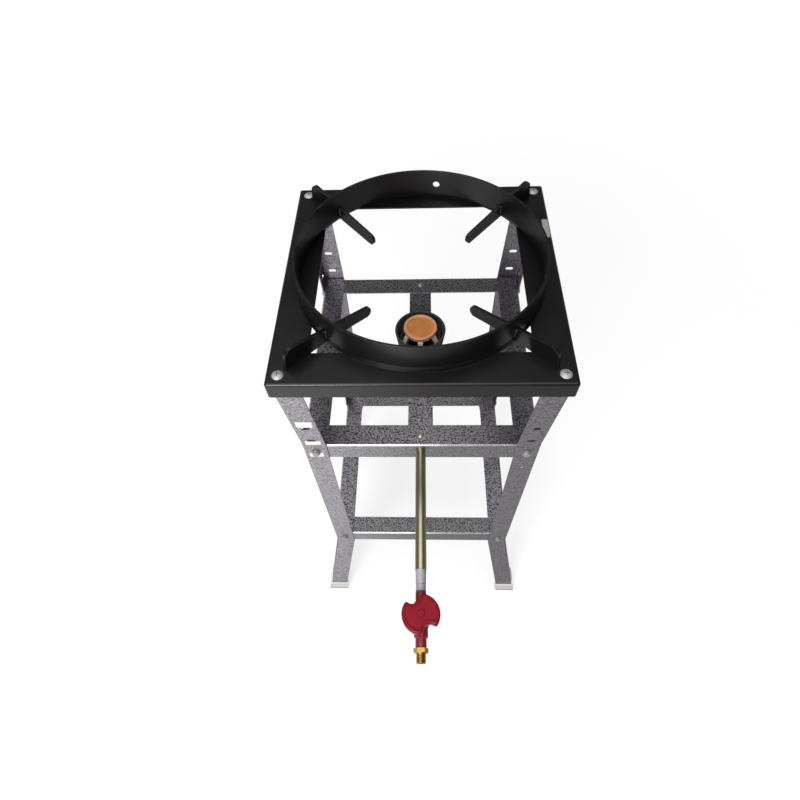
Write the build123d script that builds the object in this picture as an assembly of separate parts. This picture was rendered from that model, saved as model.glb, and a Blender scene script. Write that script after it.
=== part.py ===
from build123d import *
import os
from math import cos, radians, sin, sqrt, tan

# A free-standing gas stove: a black folded top with a wok ring, four angle legs, two shelves of
# angle rails, a cast burner with a brass head, and a gas pipe that ends in a red needle valve.
# Millimetres. X points to the right, Y to the back and Z up. The origin lies on the floor, under
# the middle of the burner.

# Top frame, folded from sheet steel
top_width = 403.0
top_height = 862.0
top_sheet = 2.0
top_lip = 27.5
top_flange = 52.5
top_corner_inside = 2.0
top_fold_inside = 1.5
opening_corner = 2.0

# Wok ring and pot support fins
ring_overlap = 30.0
ring_sheet = 3.0
ring_height = 47.0
ring_foot_flare = 2.5
ring_foot_height = 7.0
ring_hole_radius = 5.5
ring_hole_angle = 81.6
fin_thickness = 5.0
fin_height = 34.0
fin_tip_reach = 100.0
fin_tip_rise = 6.4
fin_tip_drop = 10.2
fin_tip_radius = 7.5
fin_end_lean = 6.0
fin_end_radius = 14.0
fin_bolt_gap = 4.0
fin_slot_gap = 0.1

# Legs of equal angle, bent in two places
angle_width = 38.0
angle_sheet = 2.0
angle_fold_inside = 2.0
leg_spread = 374.0
leg_top_gap = 2.0
foot_spread = 458.0
bend_gap = 4.0
leg_tab_width = 30.0
leg_tab_sheet = 2.5
slot_length = 14.0
slot_width = 7.0
slot_pitch = 40.0
slot_count = 3
spare_hole_radius = 3.0
spare_hole_drop = 55.0

# Foot caps
foot_cap_height = 26.0
foot_cap_floor = 4.0
foot_cap_wall = 3.0
foot_cap_round = 1.5
foot_cap_gap = 0.3

# Shelves, measured from the floor to the top of the front and rear rails
burner_shelf_height = 672.0
lower_shelf_height = 274.0
rail_end_gap = 0.5
rail_side_gap = 0.3

# Crossbar under the burner
crossbar_width = 40.0
crossbar_thickness = 4.0
crossbar_end_gap = 2.0

# Corner bolts with round heads
corner_bolt_inset = 16.5
corner_bolt_radius = 4.0
corner_head_radius = 8.0
corner_head_height = 3.6
corner_recess_length = 7.0
corner_recess_width = 1.6
corner_recess_depth = 1.4
corner_nut_flats = 13.0
corner_nut_height = 6.5

# Shelf bolts with hexagon heads and a flange
shelf_bolt_radius = 3.0
shelf_head_flats = 10.0
shelf_head_height = 4.0
shelf_flange_radius = 7.0
shelf_flange_height = 1.5
shelf_nut_flats = 10.0
shelf_nut_height = 5.0

# Crossbar screws and burner bolts
small_screw_radius = 2.5
small_head_radius = 5.0
small_head_height = 3.2
small_recess_length = 4.4
small_recess_width = 1.1
small_recess_depth = 1.2
crossbar_screw_inset = 19.0
burner_head_gap = 0.5
burner_bolt_depth = 7.0

# Fits shared by all fasteners
bolt_clearance = 0.3
thread_gap = 0.05
bolt_end = 2.0
hex_face_edge = 0.4
hex_chamfer_angle = 30.0

# Burner bowl, heights counted from the crossbar's top
bowl_rim_radius = 42.0
bowl_seat_radius = 38.5
bowl_wall = 3.5
bowl_height = 66.0
bowl_ledge_height = 40.0
bowl_foot_radius = 24.0
bowl_foot_height = 8.0
bowl_waist_radius = 18.5
bowl_waist_low = 12.0
bowl_waist_high = 20.0
bowl_edge = 1.0
throat_radius = 9.0
throat_height = 14.0
throat_mouth_radius = 20.0
air_hole_radius = 10.0

# Burner crown and cap
crown_side_gap = 0.5
crown_base_height = 5.0
crown_top_radius = 26.0
crown_top_height = 3.0
crown_height = 27.0
crown_wall = 4.0
crown_land_width = 8.0
crown_lands = 6
cap_radius = 27.5
cap_thickness = 4.1
cap_rim_height = 1.2
cap_rim_width = 5.0
cap_rim_slope = 1.0
cap_skirt_gap = 0.3
cap_skirt_wall = 2.0
cap_skirt_depth = 3.0

# Jet and jet holder
jet_thread_radius = 4.0
jet_thread_length = 8.0
jet_hex_flats = 10.0
jet_hex_height = 5.0
jet_nose_radius = 2.5
jet_nose_height = 5.0
jet_feed_radius = 2.0
jet_orifice_radius = 0.7
holder_half_width = 9.0
holder_height = 17.5
holder_ear_half_width = 7.0
holder_ear_thickness = 4.0
holder_bore_radius = 4.0
spigot_length = 15.0

# Gas pipe, nipple and gasket
pipe_radius = 7.95
pipe_bore_radius = 6.35
pipe_gap = 0.8
pipe_reach = 190.0
pipe_hole_gap = 0.4
nipple_length = 28.5
nipple_rear_radius = 7.4
nipple_front_radius = 6.9
nipple_groove_place = 8.0
nipple_groove_width = 1.8
nipple_groove_depth = 0.9
nipple_thread_radius = 5.2
nipple_thread_length = 11.0
nipple_bore_radius = 3.5
gasket_thickness = 2.5
gasket_radius = 7.1

# Needle valve, heights counted from the pipe's axis
valve_half_length = 35.0
valve_neck_radius = 7.4
valve_barrel_radius = 9.5
valve_barrel_half_length = 23.0
valve_chamber_radius = 12.5
valve_chamber_half_height = 12.0
valve_socket_depth = 12.0
valve_edge = 1.0
stem_room_radius = 4.5
seat_drop = 1.0
seat_depth = 5.0
seat_radius = 2.0
passage_radius = 2.2
outlet_rise = 3.0
inlet_drop = 5.0
bonnet_flats = 19.0
bonnet_height = 6.0
bonnet_thread_radius = 7.0
bonnet_thread_length = 6.0
packing_radius = 5.4
packing_height = 3.5
packing_follower = 0.5
gland_flats = 15.0
gland_height = 6.0

# Stem and needle
stem_radius = 3.5
stem_end_radius = 3.0
stem_end_flat = 2.2
stem_end_length = 10.5
needle_radius = 3.2
needle_angle = 30.0
needle_tip_radius = 0.8
needle_seat_gap = 0.05
needle_top_rise = 6.0
swivel_gap = 0.1
swivel_neck_radius = 1.2
swivel_button_radius = 2.0
swivel_button_height = 1.3
swivel_lip = 1.5

# Lobed handle
handle_gap = 2.0
handle_hub_radius = 9.0
handle_hub_height = 4.0
handle_height = 10.0
handle_radius = 25.0
handle_flutes = 2
handle_flute_angle = 118.0
handle_flute_radius = 9.6
handle_flute_depth = 10.0
handle_lobe_round = 3.5
handle_top_round = 3.0
handle_bottom_round = 1.5
handle_rim_width = 4.0
handle_dish_depth = 1.2
handle_disc_radius = 5.0
set_screw_radius = 1.65

# Inlet adapter
adapter_hex_flats = 17.0
adapter_hex_length = 6.0
adapter_thread_radius = 6.58
adapter_thread_length = 12.0
adapter_thread_chamfer = 0.8
adapter_bore_radius = 3.0

# Places worked out from the sizes above
half_top = top_width / 2
top_under = top_height - top_sheet
opening_half = half_top - top_flange
corner_bolt_place = half_top - corner_bolt_inset
ring_radius = opening_half + ring_overlap
ring_inside = ring_radius - ring_sheet
fin_end_reach = corner_bolt_place * sqrt(2) - corner_head_radius - fin_bolt_gap
fin_slope = (fin_height - fin_tip_rise) / (fin_end_reach - fin_end_lean - fin_tip_reach)
fin_ring_height = fin_tip_rise + fin_slope * (ring_radius - fin_tip_reach)
leg_top_offset = half_top - top_sheet - leg_top_gap
rail_face = leg_spread / 2 - angle_sheet
bolt_line = leg_spread / 2 - angle_width / 2
bolt_drop = angle_width / 2
upper_bend = burner_shelf_height + angle_sheet + bend_gap
lower_bend = lower_shelf_height - angle_width - bend_gap
shelf_heights = {"burner": burner_shelf_height, "lower": lower_shelf_height}
crossbar_top = burner_shelf_height - angle_sheet
crossbar_under = crossbar_top - crossbar_thickness
crossbar_screw_place = rail_face - crossbar_screw_inset
burner_bolt_place = holder_half_width + burner_head_gap + small_head_radius
holder_ear_reach = burner_bolt_place + small_head_radius + burner_head_gap
pipe_height = crossbar_under - pipe_gap - pipe_radius
pipe_rear = -holder_half_width
pipe_front = -(rail_face + pipe_reach)
nipple_front = pipe_front - nipple_length
valve_rear = nipple_front - gasket_thickness
stem_y = valve_rear - valve_half_length
valve_front = stem_y - valve_half_length
bonnet_low = pipe_height + valve_chamber_half_height
gland_low = bonnet_low + bonnet_height
handle_low = gland_low + gland_height + handle_gap
crown_low = crossbar_top + bowl_ledge_height
crown_base_radius = bowl_seat_radius - bowl_wall - crown_side_gap
cap_low = crown_low + crown_height


def block(low, high):
    """A box between two opposite corners."""
    size = Vector(*high) - Vector(*low)
    return Pos(*low) * Box(size.X, size.Y, size.Z, align=(Align.MIN, Align.MIN, Align.MIN))


def bar(start, end, radius):
    """A round bar from one point to another."""
    reach = Vector(*end) - Vector(*start)
    return Solid.make_cylinder(radius, reach.length, Plane(origin=start, z_dir=reach))


def turned(corners):
    """A round piece, turned about Z from the (radius, height) corners of its half section."""
    outline = Polyline(*[(radius, 0, height) for radius, height in corners], close=True)
    return revolve(make_face(outline), Axis.Z)


def hexagon(flats, height):
    """A hexagon prism that stands on z = 0, with its size across the flats and its upper corners turned off."""
    face = flats / 2 - hex_face_edge
    wide = flats / sqrt(3) + hex_face_edge
    shoulder = height - (wide - face) * tan(radians(hex_chamfer_angle))
    cone = turned([(0, 0), (wide, 0), (wide, shoulder), (face, height), (0, height)])
    return extrude(RegularPolygon(flats / 2, 6, major_radius=False), height) & cone


def hex_nut(flats, height, thread_radius):
    """A nut that stands on z = 0, with the corners of both its faces turned off."""
    nut = hexagon(flats, height) & (Pos(0, 0, height) * Rot(180, 0, 0) * hexagon(flats, height))
    return nut - bar((0, 0, 0), (0, 0, height), thread_radius + thread_gap)


def dome_head(radius, height):
    """A low round head that stands on z = 0: a slice of a ball."""
    ball = (radius**2 + height**2) / (2 * height)
    middle = radius / 2
    crest = sqrt(ball**2 - middle**2) - ball + height
    arc = ThreePointArc((radius, 0, 0), (middle, 0, crest), (0, 0, height))
    sides = Polyline((0, 0, height), (0, 0, 0), (radius, 0, 0))
    return revolve(make_face(arc + sides), Axis.Z)


def cross_recess(height, length, width, depth):
    """The two crossed cuts of a driver recess, sunk to a depth from a height."""
    low = height - depth
    along = block((-length / 2, -width / 2, low), (length / 2, width / 2, height))
    across = block((-width / 2, -length / 2, low), (width / 2, length / 2, height))
    return along + across


def leg_offset(height):
    """How far a leg's outer faces stand from the middle at a height."""
    upright = leg_spread / 2
    if height > upper_bend:
        share = (height - upper_bend) / (top_under - upper_bend)
        return upright + share * (leg_top_offset - upright)
    if height < lower_bend:
        share = (lower_bend - height) / lower_bend
        return upright + share * (foot_spread / 2 - upright)
    return upright


def angle_section():
    """The section of the angle, with the outside of its fold at the origin."""
    along = Rectangle(angle_width, angle_sheet, align=(Align.MIN, Align.MIN))
    across = Rectangle(angle_sheet, angle_width, align=(Align.MIN, Align.MIN))
    section = along + across
    outside = section.vertices().sort_by_distance((0, 0))[0]
    section = fillet(outside, angle_fold_inside + angle_sheet)
    inside = section.vertices().sort_by_distance((angle_sheet, angle_sheet))[0]
    return fillet(inside, angle_fold_inside)


def grown_angle_section(growth):
    """The outline of the angle with square corners, larger all round by a growth."""
    near = -growth
    far = angle_width + growth
    inner = angle_sheet + growth
    corners = [(near, near), (far, near), (far, inner), (inner, inner), (inner, far), (near, far)]
    return make_face(Polyline(*corners, close=True))


def leg_stretch(section, low, high):
    """A straight stretch of the front left leg's section between two heights."""
    start = leg_offset(low)
    lean = start - leg_offset(high)
    face = (Pos(-start, -start, low) * section).face()
    return Solid.extrude(face, (lean, lean, high - low))


def both_flanges(cutter):
    """A cutter of the front flange, and the same one in the side flange."""
    return [cutter, mirror(cutter, about=Plane(origin=(0, 0, 0), z_dir=(1, -1, 0)))]


def flange_plane(height):
    """The place on the front left leg's front flange, half way along it, at a height."""
    offset = leg_offset(height)
    return Plane(origin=(angle_width / 2 - offset, -offset, height), x_dir=(1, 0, 0), z_dir=(0, -1, 0))


def leg():
    """The front left leg, with its tab, adjusting slots and bolt holes."""
    section = angle_section()
    body = leg_stretch(section, foot_cap_floor, lower_bend)
    body += leg_stretch(section, lower_bend, upper_bend)
    body += leg_stretch(section, upper_bend, top_under)
    edge = -leg_top_offset + angle_sheet / 2
    tab_end = -leg_top_offset + angle_sheet + leg_tab_width
    body += block((edge, edge, top_under - leg_tab_sheet), (tab_end, tab_end, top_under))
    hole_radius = corner_bolt_radius + bolt_clearance
    body -= Pos(-corner_bolt_place, -corner_bolt_place, top_under) * Cylinder(hole_radius, 4 * leg_tab_sheet)
    shelf_bolt_height = burner_shelf_height - bolt_drop
    for step in range(slot_count):
        slot = flange_plane(shelf_bolt_height + step * slot_pitch) * SlotOverall(slot_length, slot_width)
        body -= both_flanges(extrude(slot, 4 * angle_sheet, both=True))
    spare = flange_plane(shelf_bolt_height - spare_hole_drop) * Circle(spare_hole_radius)
    body -= both_flanges(extrude(spare, 4 * angle_sheet, both=True))
    bolt = flange_plane(lower_shelf_height - bolt_drop) * Circle(shelf_bolt_radius + bolt_clearance)
    return body - both_flanges(extrude(bolt, 4 * angle_sheet, both=True))


def foot_cap():
    """The cap on the front left leg's end: a floor, and a wall all round the angle with round edges."""
    outside = grown_angle_section(foot_cap_gap + foot_cap_wall)
    outside = fillet(outside.vertices(), foot_cap_round)
    pocket = grown_angle_section(foot_cap_gap)
    inner = angle_sheet + foot_cap_gap
    inside = pocket.vertices().sort_by_distance((inner, inner))[0]
    pocket = fillet(inside, angle_fold_inside)
    return leg_stretch(outside, 0, foot_cap_height) - leg_stretch(pocket, foot_cap_floor, foot_cap_height)


def four_corners(piece):
    """A piece of the front left corner, mirrored to all four corners, by name."""
    right = mirror(piece, about=Plane.YZ)
    return {
        "front_left": piece,
        "front_right": right,
        "rear_left": mirror(piece, about=Plane.XZ),
        "rear_right": mirror(right, about=Plane.XZ),
    }


def rounded_tray(width, height, corner, fold):
    """A square block below z = 0, with round upright corners and a round top edge."""
    tray = Box(width, width, height, align=(Align.CENTER, Align.CENTER, Align.MAX))
    tray = fillet(tray.edges().filter_by(Axis.Z), corner)
    return fillet(tray.faces().sort_by(Axis.Z)[-1].edges(), fold)


def top_frame():
    """The folded pan with its square opening and the holes of the corner bolts."""
    outside_corner = top_corner_inside + top_sheet
    outside_fold = top_fold_inside + top_sheet
    pan = rounded_tray(top_width, top_lip, outside_corner, outside_fold)
    hollow = rounded_tray(top_width - 2 * top_sheet, top_lip - top_sheet, top_corner_inside, top_fold_inside)
    pan -= Pos(0, 0, -top_sheet) * hollow
    opening = fillet(Rectangle(2 * opening_half, 2 * opening_half).vertices(), opening_corner)
    pan -= extrude(opening, 2 * top_sheet, both=True)
    for hole in GridLocations(2 * corner_bolt_place, 2 * corner_bolt_place, 2, 2):
        pan -= hole * Cylinder(corner_bolt_radius + bolt_clearance, 4 * top_sheet)
    return Pos(0, 0, top_height) * pan


def wok_ring():
    """The rolled band with a flared foot, slotted from below for the four fins, and one hole at its back."""
    band = turned([
        (ring_inside + ring_foot_flare, 0),
        (ring_radius + ring_foot_flare, 0),
        (ring_radius, ring_foot_height),
        (ring_radius, ring_height),
        (ring_inside, ring_height),
        (ring_inside, ring_foot_height),
    ])
    half_slot = fin_thickness / 2 + fin_slot_gap
    slot_high = fin_ring_height + fin_slot_gap
    for quarter in range(4):
        slot = block((ring_inside / 2, -half_slot, 0), (2 * ring_radius, half_slot, slot_high))
        band -= Rot(0, 0, 45 + 90 * quarter) * slot
    middle = (0, 0, ring_height / 2)
    hole = bar(middle, (2 * ring_radius, 0, ring_height / 2), ring_hole_radius)
    band -= Rot(0, 0, ring_hole_angle) * hole
    return Pos(0, 0, top_height) * band


def pot_support_fin(angle):
    """One upright plate on a diagonal: its top slopes from a round outer end to a round tip inside the ring."""
    outline = Polyline(
        (fin_end_reach, 0),
        (fin_end_reach - fin_end_lean, fin_height),
        (fin_tip_reach, fin_tip_rise),
        (fin_tip_reach, -fin_tip_drop),
        (ring_inside, 0),
        close=True,
    )
    plate = make_face(outline)
    tip = plate.vertices().sort_by(Axis.X)[:2]
    plate = fillet(tip, fin_tip_radius)
    shoulder = plate.vertices().sort_by_distance((fin_end_reach - fin_end_lean, fin_height))[0]
    plate = fillet(shoulder, fin_end_radius)
    along = (cos(radians(angle)), sin(radians(angle)), 0)
    side = (sin(radians(angle)), -cos(radians(angle)), 0)
    diagonal = Plane(origin=(0, 0, top_height), x_dir=along, z_dir=side)
    return extrude(diagonal * plate, fin_thickness / 2, both=True)


def rail(length, drop):
    """An angle rail along X: its fold at the origin, one flange to +Y and one down, bolt holes at a drop."""
    profile = Plane(origin=(length / 2, 0, 0), x_dir=(0, 1, 0), z_dir=(-1, 0, 0)) * angle_section()
    body = extrude(profile, length)
    for place in (-bolt_line, bolt_line):
        reach = 2 * angle_sheet
        body -= bar((place, -reach, -drop), (place, reach, -drop), shelf_bolt_radius + bolt_clearance)
    return body


def shelf_rails(height):
    """The four rails of a shelf: the side rails lie on the front and rear ones."""
    fold = angle_fold_inside
    long_rail = rail(2 * (rail_face - fold - rail_end_gap), bolt_drop + angle_sheet)
    short_rail = rail(2 * (rail_face - angle_sheet - fold - rail_side_gap), bolt_drop)
    return {
        "front": Pos(0, -rail_face, height) * short_rail,
        "rear": Pos(0, rail_face, height) * Rot(0, 0, 180) * short_rail,
        "left": Pos(-rail_face, 0, height + angle_sheet) * Rot(0, 0, -90) * long_rail,
        "right": Pos(rail_face, 0, height + angle_sheet) * Rot(0, 0, 90) * long_rail,
    }


def burner_rails():
    """The burner shelf's rails, with the pipe's hole in front and the crossbar's screw holes."""
    rails = shelf_rails(burner_shelf_height)
    for name, side in (("front", -1), ("rear", 1)):
        rails[name] -= crossbar_screw_hole(side)
    reach = 2 * angle_sheet
    start = (0, -rail_face - reach, pipe_height)
    rails["front"] -= bar(start, (0, -rail_face + reach, pipe_height), pipe_radius + pipe_hole_gap)
    return rails


def crossbar_screw_hole(side):
    """The hole of a crossbar screw, through the rail and the crossbar, at the front or at the rear."""
    place = side * crossbar_screw_place
    low = (0, place, crossbar_under - crossbar_thickness)
    return bar(low, (0, place, burner_shelf_height + angle_sheet), small_screw_radius + thread_gap)


def crossbar():
    """The flat bar under the front and rear rails, with the air hole and the burner's bolt holes."""
    half_length = rail_face - angle_sheet - crossbar_end_gap
    half_width = crossbar_width / 2
    body = block((-half_width, -half_length, crossbar_under), (half_width, half_length, crossbar_top))
    for side in (-1, 1):
        body -= crossbar_screw_hole(side)
        body -= burner_bolt_hole(side)
    return body - bar((0, 0, crossbar_under), (0, 0, crossbar_top), air_hole_radius)


def burner_bolt_hole(side):
    """The hole of a burner bolt, from under the jet holder's ear up into the bowl's foot."""
    place = side * burner_bolt_place
    low = crossbar_under - holder_ear_thickness
    high = crossbar_top + burner_bolt_depth + bolt_clearance
    return bar((place, 0, low), (place, 0, high), small_screw_radius + thread_gap)


def small_screw(length):
    """A round-headed screw: its head above z = 0 and its shank below."""
    head = dome_head(small_head_radius, small_head_height)
    head -= cross_recess(small_head_height, small_recess_length, small_recess_width, small_recess_depth)
    return head + bar((0, 0, 0), (0, 0, -length), small_screw_radius)


def crossbar_screws():
    """The two screws that go through the rails into the crossbar."""
    screw = small_screw(burner_shelf_height - crossbar_under)
    return [Pos(0, side * crossbar_screw_place, burner_shelf_height) * screw for side in (-1, 1)]


def burner_bolts():
    """The two bolts that hold the jet holder, the crossbar and the bowl together from below."""
    length = holder_ear_thickness + crossbar_thickness + burner_bolt_depth
    low = crossbar_under - holder_ear_thickness
    return [Pos(side * burner_bolt_place, 0, low) * Rot(180, 0, 0) * small_screw(length) for side in (-1, 1)]


def corner_bolts():
    """The four round-headed bolts through the top frame and the legs' tabs."""
    length = top_sheet + leg_tab_sheet + corner_nut_height + bolt_end
    bolt = dome_head(corner_head_radius, corner_head_height)
    bolt -= cross_recess(corner_head_height, corner_recess_length, corner_recess_width, corner_recess_depth)
    bolt += bar((0, 0, 0), (0, 0, -length), corner_bolt_radius)
    return [Pos(0, 0, top_height) * place * bolt for place in corner_places()]


def corner_nuts():
    """The nuts of the corner bolts, under the legs' tabs."""
    nut = hex_nut(corner_nut_flats, corner_nut_height, corner_bolt_radius)
    low = top_under - leg_tab_sheet - corner_nut_height
    return [Pos(0, 0, low) * place * nut for place in corner_places()]


def corner_places():
    """The four places of the corner bolts."""
    return GridLocations(2 * corner_bolt_place, 2 * corner_bolt_place, 2, 2).locations


def shelf_bolt():
    """A hexagon bolt with a flange: its head above z = 0 and its shank below."""
    length = 2 * angle_sheet + shelf_nut_height + bolt_end
    head = bar((0, 0, 0), (0, 0, shelf_flange_height), shelf_flange_radius)
    head += Pos(0, 0, shelf_flange_height) * hexagon(shelf_head_flats, shelf_head_height)
    return head + bar((0, 0, 0), (0, 0, -length), shelf_bolt_radius)


def shelf_fasteners(height, piece, depth):
    """A piece at each of a shelf's eight bolts, pointing outwards, at a depth inside the legs' faces."""
    face = leg_spread / 2 - depth
    bolts = []
    for side in (-1, 1):
        for line in (-bolt_line, bolt_line):
            facing_y = Plane(origin=(line, side * face, height - bolt_drop), z_dir=(0, side, 0))
            facing_x = Plane(origin=(side * face, line, height - bolt_drop), z_dir=(side, 0, 0))
            bolts += [facing_y * piece, facing_x * piece]
    return bolts


def shelf_nuts(height):
    """The eight nuts inside a shelf's corners."""
    nut = hex_nut(shelf_nut_flats, shelf_nut_height, shelf_bolt_radius)
    return shelf_fasteners(height, nut, 2 * angle_sheet + shelf_nut_height)


def burner_bowl():
    """The cast bowl: a foot, a waist and a flared cup around a throat that widens upwards."""
    inside = bowl_rim_radius - bowl_wall
    bowl = turned([
        (throat_radius, 0),
        (bowl_foot_radius, 0),
        (bowl_foot_radius, bowl_foot_height),
        (bowl_waist_radius, bowl_waist_low),
        (bowl_waist_radius, bowl_waist_high),
        (bowl_seat_radius, bowl_ledge_height - bowl_edge),
        (bowl_rim_radius, bowl_height - bowl_edge),
        (bowl_rim_radius - bowl_edge, bowl_height),
        (inside + bowl_edge, bowl_height),
        (inside, bowl_height - bowl_edge),
        (bowl_seat_radius - bowl_wall, bowl_ledge_height),
        (throat_mouth_radius, bowl_ledge_height),
        (throat_radius, throat_height),
    ])
    bowl = Pos(0, 0, crossbar_top) * bowl
    return bowl - [burner_bolt_hole(-1), burner_bolt_hole(1)]


def burner_crown():
    """The brass crown: a base ring and a top ring, joined by slanted lands with flame ports between them."""
    base_inside = crown_base_radius - crown_wall
    top_inside = crown_top_radius - crown_wall
    neck = crown_height - crown_top_height
    base = turned([
        (base_inside, 0),
        (crown_base_radius, 0),
        (crown_base_radius, crown_base_height),
        (base_inside, crown_base_height),
    ])
    top = turned([
        (top_inside, neck),
        (crown_top_radius, neck),
        (crown_top_radius, crown_height),
        (top_inside, crown_height),
    ])
    cone = turned([
        (base_inside, crown_base_height),
        (crown_base_radius, crown_base_height),
        (crown_top_radius, neck),
        (top_inside, neck),
    ])
    half_land = crown_land_width / 2
    spoke = block((0, -half_land, 0), (2 * crown_base_radius, half_land, crown_height))
    spokes = [Rot(0, 0, 90 + 360 / crown_lands * step) * spoke for step in range(crown_lands)]
    lands = [cone & one for one in spokes]
    return Pos(0, 0, crown_low) * (base + top + lands)


def burner_cap():
    """The brass cap: a disc with a raised rim, and a skirt that keeps it in the crown."""
    skirt = crown_top_radius - crown_wall - cap_skirt_gap
    crest = cap_thickness + cap_rim_height
    cap = turned([
        (0, 0),
        (skirt - cap_skirt_wall, 0),
        (skirt - cap_skirt_wall, -cap_skirt_depth),
        (skirt, -cap_skirt_depth),
        (skirt, 0),
        (cap_radius, 0),
        (cap_radius, cap_thickness),
        (cap_radius - cap_rim_slope, crest),
        (cap_radius - cap_rim_width, crest),
        (cap_radius - cap_rim_width - cap_rim_slope, cap_thickness),
        (0, cap_thickness),
    ])
    return Pos(0, 0, cap_low) * cap


def injector_jet():
    """The jet: a thread, a hexagon and a nose with a fine orifice."""
    jet = bar((0, 0, -jet_thread_length), (0, 0, 0), jet_thread_radius)
    jet += hexagon(jet_hex_flats, jet_hex_height)
    tip = jet_hex_height + jet_nose_height
    jet += bar((0, 0, jet_hex_height), (0, 0, tip), jet_nose_radius)
    jet -= bar((0, 0, -jet_thread_length), (0, 0, jet_hex_height), jet_feed_radius)
    jet -= bar((0, 0, 0), (0, 0, tip), jet_orifice_radius)
    return Pos(0, 0, crossbar_under) * jet


def jet_holder():
    """The elbow under the crossbar: a block with two ears, a spigot in the pipe and a socket for the jet."""
    half = holder_half_width
    ear = holder_ear_half_width
    body = block((-half, -half, crossbar_under - holder_height), (half, half, crossbar_under))
    body += block(
        (-holder_ear_reach, -ear, crossbar_under - holder_ear_thickness),
        (holder_ear_reach, ear, crossbar_under),
    )
    spigot_end = (0, pipe_rear - spigot_length, pipe_height)
    body += bar((0, pipe_rear, pipe_height), spigot_end, pipe_bore_radius - thread_gap)
    body -= bar(spigot_end, (0, 0, pipe_height), holder_bore_radius)
    socket_low = (0, 0, crossbar_under - jet_thread_length)
    body -= bar(socket_low, (0, 0, crossbar_under), jet_thread_radius + thread_gap)
    return body - [burner_bolt_hole(-1), burner_bolt_hole(1)]


def gas_pipe():
    """The straight tube from the jet holder, through the front rail, to the nipple."""
    rear = (0, pipe_rear, pipe_height)
    front = (0, pipe_front, pipe_height)
    return bar(rear, front, pipe_radius) - bar(rear, front, pipe_bore_radius)


def toward_viewer(piece, place):
    """A piece turned about Z, laid down so that its height runs forwards from a place on the pipe's axis."""
    return Plane(origin=(0, place, pipe_height), x_dir=(1, 0, 0), z_dir=(0, -1, 0)) * piece


def pipe_nipple():
    """The nipple: a spigot in the pipe, a tapered body with a groove, and a thread in the valve."""
    inner = pipe_bore_radius - thread_gap
    end = nipple_length + gasket_thickness + nipple_thread_length
    groove_high = nipple_length - nipple_groove_place
    groove_low = groove_high - nipple_groove_width
    groove_radius = nipple_front_radius - nipple_groove_depth
    shrink = (nipple_rear_radius - nipple_front_radius) / nipple_length
    nipple = turned([
        (nipple_bore_radius, -spigot_length),
        (inner, -spigot_length),
        (inner, 0),
        (nipple_rear_radius, 0),
        (nipple_rear_radius - shrink * groove_low, groove_low),
        (groove_radius, groove_low),
        (groove_radius, groove_high),
        (nipple_rear_radius - shrink * groove_high, groove_high),
        (nipple_front_radius, nipple_length),
        (nipple_thread_radius, nipple_length),
        (nipple_thread_radius, end),
        (nipple_bore_radius, end),
    ])
    return toward_viewer(nipple, pipe_front)


def nipple_gasket():
    """The flat gasket between the nipple and the valve."""
    bore = nipple_thread_radius + thread_gap
    ring = turned([(bore, 0), (gasket_radius, 0), (gasket_radius, gasket_thickness), (bore, gasket_thickness)])
    return toward_viewer(ring, nipple_front)


def valve_point(rise, forward=0.0):
    """A point of the valve: above the pipe's axis by a rise, in front of the stem's axis by a distance."""
    return (0, stem_y - forward, pipe_height + rise)


def valve_body():
    """The valve's body: a barrel along the pipe and an upright chamber, with the gas's way inside."""
    neck_start = valve_half_length - valve_barrel_half_length
    barrel = turned([
        (0, 0),
        (valve_neck_radius - valve_edge, 0),
        (valve_neck_radius, valve_edge),
        (valve_neck_radius, neck_start),
        (valve_barrel_radius, neck_start + valve_edge),
        (valve_barrel_radius, 2 * valve_half_length - neck_start - valve_edge),
        (valve_neck_radius, 2 * valve_half_length - neck_start),
        (valve_neck_radius, 2 * valve_half_length - valve_edge),
        (valve_neck_radius - valve_edge, 2 * valve_half_length),
        (0, 2 * valve_half_length),
    ])
    body = toward_viewer(barrel, valve_rear)
    top = valve_chamber_half_height
    chamber = bar(valve_point(-top), valve_point(top), valve_chamber_radius)
    body += chamber
    socket_radius = nipple_thread_radius + thread_gap
    inner_face = valve_half_length - valve_socket_depth
    for side in (-1, 1):
        mouth = valve_point(0, side * valve_half_length)
        body -= bar(mouth, valve_point(0, side * inner_face), socket_radius)
    thread_low = top - bonnet_thread_length - bolt_clearance
    body -= bar(valve_point(thread_low), valve_point(top), bonnet_thread_radius + thread_gap)
    body -= bar(valve_point(-seat_drop), valve_point(top), stem_room_radius)
    body -= bar(valve_point(-seat_drop - seat_depth), valve_point(-seat_drop), seat_radius)
    body -= bar(valve_point(-inlet_drop, inner_face), valve_point(-inlet_drop), passage_radius)
    return body - bar(valve_point(outlet_rise, -inner_face), valve_point(outlet_rise), passage_radius)


def on_stem(piece, low):
    """A piece turned about Z, set on the stem's axis at a height."""
    return Pos(0, stem_y, low) * piece


def valve_bonnet():
    """The bonnet: a thread in the body and a hexagon, with room for the packing."""
    bonnet = hexagon(bonnet_flats, bonnet_height)
    bonnet += bar((0, 0, -bonnet_thread_length), (0, 0, 0), bonnet_thread_radius)
    bonnet -= bar((0, 0, -bonnet_thread_length), (0, 0, bonnet_height), stem_radius + thread_gap)
    packing_low = bonnet_height - packing_follower - packing_height
    bonnet -= bar((0, 0, packing_low), (0, 0, bonnet_height), packing_radius + thread_gap)
    return on_stem(bonnet, bonnet_low)


def stem_packing():
    """The packing ring round the stem."""
    bore = stem_radius + thread_gap
    ring = turned([(bore, 0), (packing_radius, 0), (packing_radius, packing_height), (bore, packing_height)])
    return on_stem(ring, gland_low - packing_follower - packing_height)


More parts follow.
